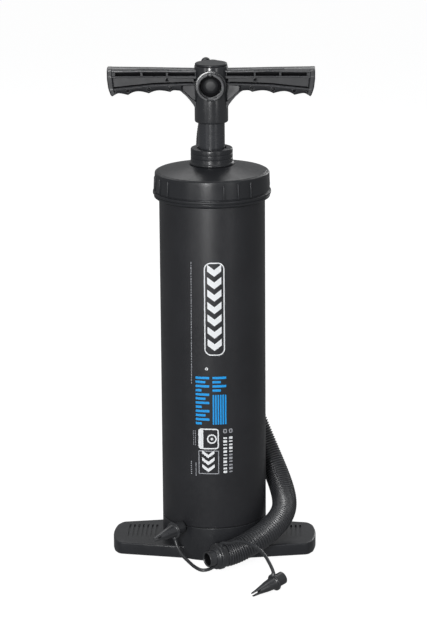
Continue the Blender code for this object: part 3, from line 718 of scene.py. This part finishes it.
def make_gland():
    """Gland nut with three shallow bands and a flared foot."""
    bm = revolve([
        (17.3, 383.1), (21.3, 383.1, 0.5), (21.3, 384.6, 0.8), (20.2, 385.6, 0.9), (20.05, 388.6, 0.5),
        (19.75, 389.2, 0.4), (20.05, 389.8, 0.5), (20.05, 393.0, 0.5), (19.75, 393.6, 0.4),
        (20.05, 394.2, 0.5), (20.05, 398.7, 1.7), (13.8, 398.7, 0.6), (13.8, 395.6), (17.3, 395.6)], 160)
    fit(mesh_object("gland", bm, GLOSSY), "barrel", "gland_nut")


def make_rod():
    bm = revolve([(10.9, 58.3), (12.6, 58.3), (12.6, 441.3), (10.9, 441.3)], 128)
    fit(mesh_object("piston_rod", bm, GLOSSY), "plunger", "rod_tube")


make_foot()
make_barrel()
make_cap()
make_gland()
make_rod()


# ---------- handle

ARM_FACE = 7.5
ARM_RIDGE = 7.8
# Heights of the arm's features along x, in rows of (x, height)
CROWN = ((10, 474.0), (18, 474.2), (37, 474.8), (56, 475.3), (84, 475.7), (98, 475.9))
TOP_EDGE = 473.8
SLOT_TOP = ((10, 471.1), (27, 471.2), (56, 471.9), (84, 471.3), (98, 471.1))
SLOT_LOW = ((10, 468.7), (27, 468.5), (98, 468.4))
RIB_LOW = ((10, 465.6), (27, 466.0), (56, 467.0), (84, 466.5), (98, 466.0))
PANEL_LOW = ((16, 461.6), (27.4, 461.3), (43, 460.8), (55.7, 460.3), (71.5, 458.6), (83.9, 457.3),
             (98, 456.0))
LEDGE_LOW = ((16, 459.6), (27.4, 459.3), (55.7, 458.2), (83.9, 455.4), (98, 454.0))
GUSSET = ((10, 431.5), (13.5, 434.6), (15.5, 437.6), (17, 440.5), (19.8, 444.3), (23.5, 448.6),
          (27.2, 451.8), (30.0, 453.4))
GUSSET_INNER = ((10, 440.0), (15.5, 444.2), (19.7, 447.6), (24.4, 452.3), (27.7, 455.1), (30.0, 456.0))
# Underside: points between the finger scallops, and how high each scallop goes
CUSPS = ((30.0, 453.4), (38.6, 452.1), (58.8, 450.8), (78.6, 449.2), (97.8, 447.9))
SCALLOP_TOPS = (453.7, 453.6, 452.8, 450.9)
# Ranges of x that the upper slots take up
SLOTS = ((15.2, 40.2), (42.5, 64.2), (66.6, 90.1))
ARM_END = 98.2
# Strips of the cross-section, counted from the crown: polished edges with a painted highlight, and painted
# shade deep in the slots and in the groove
SMOOTH_LIT_BANDS = (0, 1, 2, 3, 4, 12, 13, 21)
SLOT_SHADE_BANDS = (9, 10, 11)
GROOVE_SHADE_BANDS = (18, 19, 20)


def arm_underside(x):
    """Height of the arm's underside: the gusset near the hub, then four finger scallops."""
    if x <= GUSSET[-1][0]:
        return table(x, GUSSET)
    for (x0, z0), (x1, z1), top in zip(CUSPS, CUSPS[1:], SCALLOP_TOPS):
        if x <= x1:
            t = (x - x0) / (x1 - x0)
            level = lerp(z0, z1, t)
            return level + (top - level) * (1 - abs(2 * t - 1) ** 1.9)
    return CUSPS[-1][1]


def inside(x, ranges, edge=0.3):
    """1 within one of the ranges, 0 outside, with a short ramp at each end."""
    return max(min(smoothstep(a - edge, a + edge, x), 1 - smoothstep(b - edge, b + edge, x))
               for a, b in ranges)


def arm_section(x):
    """Half of the arm's cross-section at x, from the crown down to the underside, as (depth, height)."""
    crown, slot_top, slot_low = table(x, CROWN), table(x, SLOT_TOP), table(x, SLOT_LOW)
    rib_low, panel_low, ledge_low = table(x, RIB_LOW), table(x, PANEL_LOW), table(x, LEDGE_LOW)
    low = arm_underside(x)
    slot_floor = lerp(7.0, 0.8, inside(x, SLOTS))
    panel_open = inside(x, ((0.0, 92.8),), 0.5)
    near_hub = 1 - smoothstep(15.6, 16.4, x)
    panel_floor = lerp(ARM_FACE, lerp(5.7, 2.0, near_hub), panel_open)
    groove = lerp(ARM_FACE, table(x, ((60, 2.6), (90, 4.6))), panel_open)
    web_open = 1 - smoothstep(26.5, 28.5, x)
    web_low = lerp(low + 2.4, table(x, GUSSET_INNER), 1 - smoothstep(27.0, 30.0, x))
    under = lerp(6.7, 6.9, web_open)
    points = [
        (0.0, crown), (3.5, lerp(crown, TOP_EDGE, 0.12)), (5.6, lerp(crown, TOP_EDGE, 0.45)),
        (6.6, TOP_EDGE), (7.2, TOP_EDGE - 0.4), (ARM_FACE, TOP_EDGE - 1.0), (ARM_FACE, slot_top + 0.9),
        (7.15, slot_top + 0.65), (7.1, slot_top + 0.15), (6.9, slot_top), (slot_floor, slot_top - 0.1),
        (slot_floor, slot_low + 0.1), (6.5, slot_low), (7.0, slot_low - 0.15), (ARM_RIDGE, slot_low - 0.9),
        (ARM_RIDGE, rib_low + 0.5), (7.3, rib_low + 0.1), (panel_floor, rib_low - 0.1),
        (panel_floor, panel_low + 1.2),
        (groove, panel_low + 1.1), (groove, panel_low), (6.5, panel_low - 0.1),
        (ARM_RIDGE, panel_low - 1.1), (ARM_RIDGE, ledge_low + 0.4), (7.3, ledge_low),
        (under, ledge_low - 0.3), (lerp(under, 3.4, web_open), ledge_low - 0.6),
        (lerp(5.9, 4.4, web_open), web_low + 0.3), (lerp(5.8, 6.9, web_open), web_low),
        (lerp(5.0, 6.9, web_open), low + 1.3), (lerp(3.6, 6.0, web_open), low + 0.4), (2.0, low + 0.05),
        (0.0, low)]
    plate = smoothstep(93.2, 93.9, x)
    edge = max(0.0, (x - 96.9) / (ARM_END - 96.9))
    inset = 1.1 * (1 - sqrt(max(0.0, 1 - edge * edge)))
    result = []
    for i, (depth, height) in enumerate(points):
        flat = min(8.0, 8.0 * min(i, len(points) - 1 - i) / 3)
        depth = lerp(depth, flat, plate)
        height = lerp(height, height + (0.25 if i < 5 else 0.0), plate)
        depth *= 1 - inset / 8.0
        height = lerp(height, 462.0, inset / 16.0)
        result.append((depth, height))
    return result


def arm_lean(x, height):
    """The end of the arm leans inwards towards its lower tip."""
    return x - smoothstep(84.0, 94.5, x) * 0.0135 * max(0.0, 466.0 - height) ** 2


def arm_stations():
    """Places along the arm: every half millimetre, and more at the slots, the cusps and both ends."""
    stations = {round(11.5 + 0.5 * k, 3) for k in range(174)} | {ARM_END}
    for a, b in SLOTS:
        stations |= {a - 0.3, a, a + 0.3, b - 0.3, b, b + 0.3}
    stations |= {15.6, 16.4, 92.3, 92.8, 93.3, 93.9, 97.3, 97.7, 98.0, 98.1}
    stations |= {c[0] + d for c in CUSPS[1:4] for d in (-0.25, 0.0, 0.25)}
    return sorted(stations)


def arm_mesh(side):
    """One arm; material 1, a painted highlight, is on the polished edges, and material 2, painted shade,
    deep in the slots and the long groove.
    """
    bm = bmesh.new()
    loops, places = [], arm_stations()
    for x in places:
        half = arm_section(x)
        ring = [(-d, z) for d, z in half] + [(d, z) for d, z in reversed(half[1:-1])]
        loops.append([bm.verts.new(mm(side * arm_lean(x, z), y, z)) for y, z in ring])
    count = len(loops[0])
    for ring, following, x in zip(loops, loops[1:], places):
        in_slot = any(a <= x < b for a, b in SLOTS)
        for k in range(count):
            n = (k + 1) % count
            band = min(k, count - 1 - k)
            face = bm.faces.new((ring[k], ring[n], following[n], following[k]))
            # Painted highlight: the lighter edge colour on the polished bands
            if band in SMOOTH_LIT_BANDS:
                face.material_index = 1
            # Painted shade: the dark colour deep in the slots and the groove
            if (band in SLOT_SHADE_BANDS and in_slot) or (band in GROOVE_SHADE_BANDS and 17.0 < x < 92.8):
                face.material_index = 2
    for ring in (loops[0], loops[-1]):
        for k in range(count // 2):
            far, near = (count - k) % count, (count - k - 1) % count
            corners = [ring[k], ring[k + 1], ring[near], ring[far]]
            bm.faces.new([v for i, v in enumerate(corners) if v not in corners[:i]])
    return bm


def make_arms():
    bm = bmesh.new()
    for side in (-1, 1):
        add_to(bm, arm_mesh(side))
    arms = mesh_object("handle_arms", bm, TEXTURED, 28)
    arms.data.materials.append(CREST_HIGHLIGHT)
    arms.data.materials.append(PAINTED_SHADE)
    fit(arms, "plunger", "handle_body")


def facing(side, x=0.0, z=PORT_Z):
    """Matrix that points a shape's own +Z to the front (side -1) or to the back (side 1)."""
    return placement((x, 0, z), (0, side, 0))


def paint_shade(obj, in_shade):
    """Paints shade: gives the dark colour to the faces that pass a test of their distance from the ports'
    axis and their depth along it.
    """
    obj.data.materials.append(PAINTED_SHADE)
    for face in obj.data.polygons:
        from_axis = hypot(face.center.x, face.center.z - PORT_Z * MM)
        if in_shade(from_axis / MM, abs(face.center.y) / MM):
            face.material_index = 1


def make_hub():
    """Hub with a boss through it for the two ports, a well in each end of the boss, and a lid."""
    bottom, top = 423.4, 477.5
    bm = revolve([(0, bottom), (15.9, bottom, 1.8), (16.0, 470.0, 5.0), (15.8, top, 0.7), (0, top)], 160)
    hub = mesh_object("handle_hub", bm, HUB)
    lay_down = Matrix.Translation(mm(0, 0, PORT_Z)) @ Matrix.Rotation(radians(90), 4, "X")
    boss = moved(revolve([(0, -16.2), (14.6, -16.2, 0.9), (14.6, 16.2, 0.9), (0, 16.2)], 128, 2.1), lay_down)
    well = moved(revolve([(0, -18), (10.2, -18), (10.2, -12.8), (4.0, -12.8), (4.0, 12.8), (10.2, 12.8),
                          (10.2, 18), (0, 18)], 96, 4.3), lay_down)
    bore = revolve([(0, bottom - 2), (12.95, bottom - 2), (12.95, 441.6), (11.0, 441.6), (11.0, top + 1),
                    (0, top + 1)], 96, 5.2)
    boolean(hub, [("UNION", boss), ("DIFFERENCE", bore), ("DIFFERENCE", well)])
    # Painted shade in the wells at both ends of the boss
    paint_shade(hub, lambda from_axis, depth: from_axis < 10.4 and depth < 16.1)
    fit(hub, "plunger", "handle_body")
    lid = mesh_object("hub_lid", revolve([
        (0, 471.0), (10.6, 471.0), (10.6, 477.8), (15.3, 477.8, 0.2), (15.3, 479.2, 0.6), (14.5, 479.8, 0.4),
        (9.0, 480.0, 1.0), (0, 480.0)], 128), BLACK)
    fit(lid, "plunger", "hub_top_cap")


def make_pins():
    """Marks on both faces of each arm: two open holes near its end, two ringed pins and a small hole; dark
    discs in the holes are painted shade.
    """
    hole_marks, pin_marks = ((91.6, 453.4), (78.5, 454.2)), ((58.5, 455.5), (38.7, 456.8))
    small_mark = (41.6, 464.4)
    rings, hole_shade_discs = bmesh.new(), bmesh.new()

    def stamp(bm, profile, steps, turn):
        add_to(bm, moved(revolve(profile, steps), turn))

    for side in (-1, 1):
        for face in (-1, 1):
            for x, z in hole_marks + pin_marks:
                turn = facing(face, side * x, z)
                stamp(rings, [(1.65, 4.5), (2.3, 4.5), (2.3, 7.3, 0.25), (1.65, 7.3, 0.15)], 28, turn)
                stamp(hole_shade_discs, [(0, 4.5), (1.6, 4.5), (1.6, 6.6), (0, 6.6)], 28, turn)
                if (x, z) in pin_marks:
                    stamp(rings, [(0, 6.65), (0.7, 6.65), (0.7, 7.1, 0.2), (0, 7.3)], 24, turn)
            turn = facing(face, side * small_mark[0], small_mark[1])
            stamp(hole_shade_discs, [(0, 5.2), (1.2, 5.2), (1.2, 6.3), (0, 6.3)], 24, turn)
            stamp(rings, [(1.25, 5.2), (1.9, 5.2), (1.9, 7.0, 0.3), (1.25, 7.0, 0.2)], 24, turn)
    fit(mesh_object("grip_pins", rings, BLACK), "plunger")
    # Painted shade: dark discs in the holes
    fit(mesh_object("grip_pin_hole_shade", hole_shade_discs, PAINTED_SHADE), "plunger")


def make_port(name, node, side):
    """Bayonet ring: a base ring, two raised arcs with a gap at top and bottom, and a key in the top gap."""
    gap, half_turn = 15.5, 180
    bm = revolve([(10.5, 16.5), (12.9, 16.5), (12.9, 18.2, 0.2), (10.5, 18.2, 0.2)], 128)
    for start in (gap, half_turn + gap):
        add_to(bm, revolve_arc([(10.9, 18.0), (12.9, 18.0), (12.9, 24.0, 0.35), (10.9, 24.0, 0.35)],
                               start, start + half_turn - 2 * gap))
    bm = moved(bm, facing(side) @ turn_z(90))
    key = revolve([(0, 17.5), (1.5, 17.5), (1.5, 20.6, 0.4), (0, 20.8)], 32)
    add_to(bm, moved(key, facing(side, 0.0, PORT_Z + 11.4)))
    fit(mesh_object(name, bm, PORT_RING_HIGHLIGHT), "plunger", node)


def make_plug():
    """Low dome on its own flange, deep inside the front port; the flange is painted dark as shade."""
    dome_edge = 7.5
    bm = revolve([(0, 13.1), (9.4, 13.1), (9.4, 13.9, 0.3), (dome_edge, 13.9), (7.3, 14.1), (6.9, 15.0, 1.0),
                  (4.6, 16.0, 2.5), (0, 16.5)], 96)
    plug = mesh_object("port_stub", moved(bm, facing(-1)), PLUG)
    # Painted shade on the flange round the dome
    paint_shade(plug, lambda from_axis, depth: from_axis > dome_edge)
    fit(plug, "plunger", "front_port_plug")


def elbow_stations():
    """(centre, direction, radius) of rings along the elbow's outside and back through its bore."""
    bend_y, bend_z, bend_radius = 38.0, 442.0, 18.0
    down_y, bore = bend_y + bend_radius, 6.5

    def bend(radius, first, last):
        for k in range(19):
            a = radians(lerp(first, last, k / 18))
            yield ((bend_y + bend_radius * sin(a), bend_z + bend_radius * cos(a)),
                   (cos(a), -sin(a)), radius)

    stations = []
    for y, radius in ((13.2, 9.4), (13.6, 9.7), (24.3, 9.7), (24.4, 12.2), (24.8, 12.6), (32.4, 12.6),
                      (33.2, 13.2), (34.2, 15.2), (35.4, 15.8)):
        stations.append(((y, PORT_Z), (1, 0), radius))
    stations += bend(15.8, 0, 90)
    for z, radius in ((440.4, 15.8), (440.0, 15.3), (439.3, 15.3), (438.9, 15.8), (436.9, 15.8),
                      (436.4, 15.3), (436.4, bore)):
        stations.append(((down_y, z), (0, -1), radius))
    stations += bend(bore, 90, 0)
    stations.append(((13.2, PORT_Z), (1, 0), bore))
    return stations


def make_elbow():
    """Rear elbow: spigot, stop ring, bend and hose socket with two beads, and a locking lug on top."""
    steps = 72
    bm = bmesh.new()
    rings = []
    for (y, z), (along_y, along_z), radius in elbow_stations():
        ring = []
        for k in range(steps):
            angle = tau * k / steps
            rise = radius * sin(angle)
            ring.append(bm.verts.new(mm(radius * cos(angle), y + along_z * rise, z - along_y * rise)))
        rings.append(ring)
    bridge(bm, rings + rings[:1])
    lug = revolve([(0, 25.5), (4.8, 25.5, 1.2), (4.8, 33.0, 1.2), (0, 33.0)], 40)
    add_to(bm, moved(lug, facing(1, -6, 474.8)))
    fit(mesh_object("rear_elbow", bm, BLACK, 40), "plunger", "hose_elbow")


make_arms()
make_hub()
make_pins()
make_port("front_bayonet_ring", "front_port_collar", -1)
make_port("rear_bayonet_ring", "rear_port_collar", 1)
make_plug()
make_elbow()


# ---------- print on the barrel

PRINT_LIFT = 0.12
PRINT_SINK = -0.1


def on_barrel(u, z, lift):
    """Point at arc length u to the right of the front line, in millimetres."""
    angle = u / BARREL_R
    radius = BARREL_R + lift
    return Vector((radius * sin(angle), -radius * cos(angle), z)) * MM


def finer(loop, shares):
    """Adds evenly spaced points along each edge of a loop."""
    points = []
    for (a, b), share in zip(zip(loop, loop[1:] + loop[:1]), shares):
        points += [(lerp(a[0], b[0], k / share), lerp(a[1], b[1], k / share)) for k in range(share)]
    return points


def add_patch(bm, outer, inner):
    """Raised ink patch between two matching loops of (u, z), cut finely enough to follow the barrel."""
    shares = [max(1, ceil(abs(b[0] - a[0]) / 1.2)) for a, b in zip(outer, outer[1:] + outer[:1])]
    outer, inner = finer(outer, shares), finer(inner, shares)
    rings = []
    for loop, lift in ((outer, PRINT_LIFT), (inner, PRINT_LIFT), (inner, PRINT_SINK), (outer, PRINT_SINK)):
        rings.append([bm.verts.new(on_barrel(u, z, lift)) for u, z in loop])
    bridge(bm, rings + rings[:1])


def rounded_box(u, z, width, height, radius, count=8):
    """Loop of a rounded rectangle centred at (u, z)."""
    radius = min(radius, width / 2, height / 2)
    points = []
    for cx, cz, start in ((1, 1, 0), (-1, 1, 90), (-1, -1, 180), (1, -1, 270)):
        for k in range(count + 1):
            angle = radians(start + 90 * k / count)
            points.append((u + cx * (width / 2 - radius) + radius * cos(angle),
                           z + cz * (height / 2 - radius) + radius * sin(angle)))
    return points


def outline_patch(bm, u, z, width, height, radius, line):
    add_patch(bm, rounded_box(u, z, width, height, radius),
              rounded_box(u, z, width - 2 * line, height - 2 * line, max(0.05, radius - line)))


def solid_patch(bm, u, z, width, height, radius=0.2):
    """Filled patch: its inner loop shrinks to a short hairline."""
    shrink = min(width, height) / 2 - 0.04
    add_patch(bm, rounded_box(u, z, width, height, radius),
              rounded_box(u, z, width - 2 * shrink, height - 2 * shrink, 0.01))


def chevron_patch(bm, u, z, width, rise, thick):
    """Chevron that points down, drawn as two slanted bars that share a tip."""
    for side in (-1, 1):
        end_u, tip_z, end_z = u + side * width / 2, z - rise / 2, z + rise / 2
        outer = [(u, tip_z), (end_u, end_z), (end_u, end_z + thick), (u, tip_z + thick)]
        if side < 0:
            outer.reverse()
        middle = (sum(p[0] for p in outer) / 4, sum(p[1] for p in outer) / 4)
        inner = [(lerp(p[0], middle[0], 0.98), lerp(p[1], middle[1], 0.98)) for p in outer]
        add_patch(bm, outer, inner)


def print_frame(white):
    """Tall frame with seven stroke chevrons in it, and a small ring below."""
    u, z = 3.2, 252.5
    outline_patch(white, u, z, 19.6, 91.0, 6.5, 1.1)
    for k in range(7):
        chevron_patch(white, u, z + 34.4 - 12.1 * k, 13.4, 5.2, 6.6)
    outline_patch(white, -4.8, 193.8, 2.8, 2.8, 1.4, 0.7)


def print_bars(blue):
    """Two columns of bars of different widths, flush on the left; upright stripes under the right one."""
    column, bar, top, pitch = 13.3, 2.3, 184.8, 4.13
    right_u = 7.4
    for u, shares, count in ((-9.0, (1.0, 0.72, 1.0, 0.44), 12), (right_u, (1.0, 0.6, 1.0, 0.6), 4)):
        for k in range(count):
            width = column * shares[k % 4]
            solid_patch(blue, u - (column - width) / 2, top - pitch * k, width, bar, 0.3)
    for k in range(6):
        solid_patch(blue, right_u + 2.35 * (k - 2.5), 153.2, 1.45, 29.6, 0.4)


def print_icons(white, grey):
    """Two framed pictograms: a ring beside an upright bar, and three chevrons."""
    u, width, ring_z = -3.4, 19.8, 124.0
    outline_patch(white, u, ring_z, width, 20.6, 3.0, 1.2)
    solid_patch(white, u - width / 2 + 3.0, ring_z, 3.6, 18.8, 0.6)
    outline_patch(white, u + 3.2, ring_z, 9.4, 9.4, 4.7, 1.3)
    solid_patch(white, u + 3.2, ring_z, 2.6, 2.6, 1.3)
    outline_patch(grey, u, 100.4, width, 23.6, 0.8, 0.8)
    for k in range(3):
        chevron_patch(white, u - 0.4, 107.0 - 7.0 * k, 12.0, 4.6, 3.4)


def print_dashes(white, grey):
    """Two columns of dashes under a small ring on the right, and rows of small print on the left."""
    for column, (u, width) in enumerate(((12.6, 3.6), (18.2, 3.4))):
        outline_patch(grey, u, 131.5, width, 4.2, 1.2, 0.9)
        for k in range(11):
            height = (1.6, 2.4, 1.2)[(k + column) % 3]
            solid_patch(white if k < 5 or column == 0 else grey, u, 124.5 - 3.4 * k, width, height, 0.25)
    for k in range(46):
        height = (1.9, 1.2, 2.3, 1.5)[k % 4]
        solid_patch(grey, -19.2 - 0.012 * k, 297.0 - 2.62 * k, 0.75, height, 0.15)
    for u, top, pitch, width, height in ((-16.4, 131.0, 2.2, 0.6, 1.5), (-18.2, 131.0, 2.2, 0.6, 1.3),
                                         (-20.8, 100.0, 2.0, 1.0, 1.1), (-16.0, 99.0, 2.0, 0.9, 1.2)):
        for k in range(7):
            solid_patch(grey, u, top - pitch * k, width, height, 0.1)


def make_print():
    """Plain marks in the place of the printed matter."""
    white, grey, blue = bmesh.new(), bmesh.new(), bmesh.new()
    print_frame(white)
    print_bars(blue)
    print_icons(white, grey)
    print_dashes(white, grey)
    for name, bm, material in (("print_white", white, WHITE_INK), ("print_grey", grey, GREY_INK),
                               ("print_blue", blue, BLUE_INK)):
        fit(mesh_object(name, bm, material), "barrel")


make_print()


# ---------- materials of the CAD parts that stay

CAD_MATERIALS = (
    (SEAL, ("base_seal_ring", "cap_seal_ring", "bottom_buffer", "rod_seal", "stop_buffer", "piston_seal",
            "intake_valve_upper", "delivery_valve_upper", "intake_valve_lower", "delivery_valve_lower")),
    (NATURAL, ("rod_guide", "piston_lower", "piston_upper")),
    (BLACK, ("stop_sleeve",)),
    (STEEL, ("inner_air_tube", "rod_nut", "piston_screw_1", "piston_screw_2", "piston_screw_3",
             "piston_screw_4", "handle_screw_1", "handle_screw_2")))


def dress_cad_parts():
    for material, names in CAD_MATERIALS:
        for name in names:
            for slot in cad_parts[name].material_slots:
                slot.link = "OBJECT"
                slot.material = material


dress_cad_parts()


# ---------- studio

def unseen_in_reflections(obj):
    for ray in ("diffuse", "glossy", "transmission", "shadow"):
        setattr(obj, "visible_" + ray, False)


def glowing(name, colour, glow, others):
    """White that gives its own light."""
    material, tree, shader = new_material(name)
    wire(tree, shader, {"Base Color": colour, "Emission Color": (1, 1, 1, 1), "Emission Strength": glow})
    wire(tree, shader, others)
    return material


def make_backdrop():
    """White floor and dome that only the camera sees, so that they don't wash out the black plastic."""
    matt = {"Roughness": 1.0, "Specular IOR Level": 0.0}
    bm = bmesh.new()
    bmesh.ops.create_grid(bm, x_segments=1, y_segments=1, size=25.0)
    floor = mesh_object("floor", bm, glowing("floor_white", (0.30, 0.30, 0.30, 1), 0.90, matt))
    floor.location.z = -0.0006
    bm = bmesh.new()
    bmesh.ops.create_uvsphere(bm, u_segments=48, v_segments=24, radius=24.0)
    dome = mesh_object("dome", bm, glowing("dome_white", (0, 0, 0, 1), 1.05, {}))
    for obj in (floor, dome):
        unseen_in_reflections(obj)


def make_world():
    """Dim, even studio air, brighter above the horizon than below it."""
    world = bpy.data.worlds.new("studio")
    bpy.context.scene.world = world
    world.use_nodes = True
    tree = world.node_tree
    direction = add_node(tree, "TexCoord").outputs["Generated"]
    height = add_node(tree, "SeparateXYZ", Vector=direction).outputs["Z"]
    wire(tree, tree.nodes["Background"], {
        "Strength": remap(tree, height, -0.1, 0.25, 0.19, 0.27), "Color": (0.97, 0.985, 1.0, 1)})


def area_light(name, at, aim_z, size, watts):
    """Rectangular light that points at a height on the pump's axis, and isn't seen itself."""
    data = bpy.data.lights.new(name, "AREA")
    data.shape = "RECTANGLE"
    data.size, data.size_y = size
    data.energy = watts
    light = link(bpy.data.objects.new(name, data))
    light.location = at
    light.rotation_mode = "QUATERNION"
    light.rotation_quaternion = (UP * aim_z - Vector(at)).to_track_quat("-Z", "Y")
    light.visible_camera = False


def make_lights():
    """A tall key light to the left of the camera, and weak fills round it, above and behind."""
    area_light("key", (-0.30, -1.9, 0.70), 0.25, (0.30, 0.9), 23.0)
    area_light("front_left_fill", (-1.2, -1.5, 0.6), 0.25, (0.4, 1.2), 2.3)
    area_light("front_right_fill", (1.2, -1.5, 0.6), 0.25, (0.4, 1.2), 2.7)
    area_light("top_fill", (0, -0.3, 2.0), 0.25, (1.2, 1.0), 3.5)
    area_light("back_right_panel", (0.95, 1.8, 0.75), 0.35, (0.8, 0.9), 5.9)
    area_light("back_high_panel", (0, 1.5, 1.7), 0.4, (1.8, 0.7), 6.6)


make_backdrop()
make_world()
make_lights()
bpy.context.scene.view_settings.view_transform = "Standard"
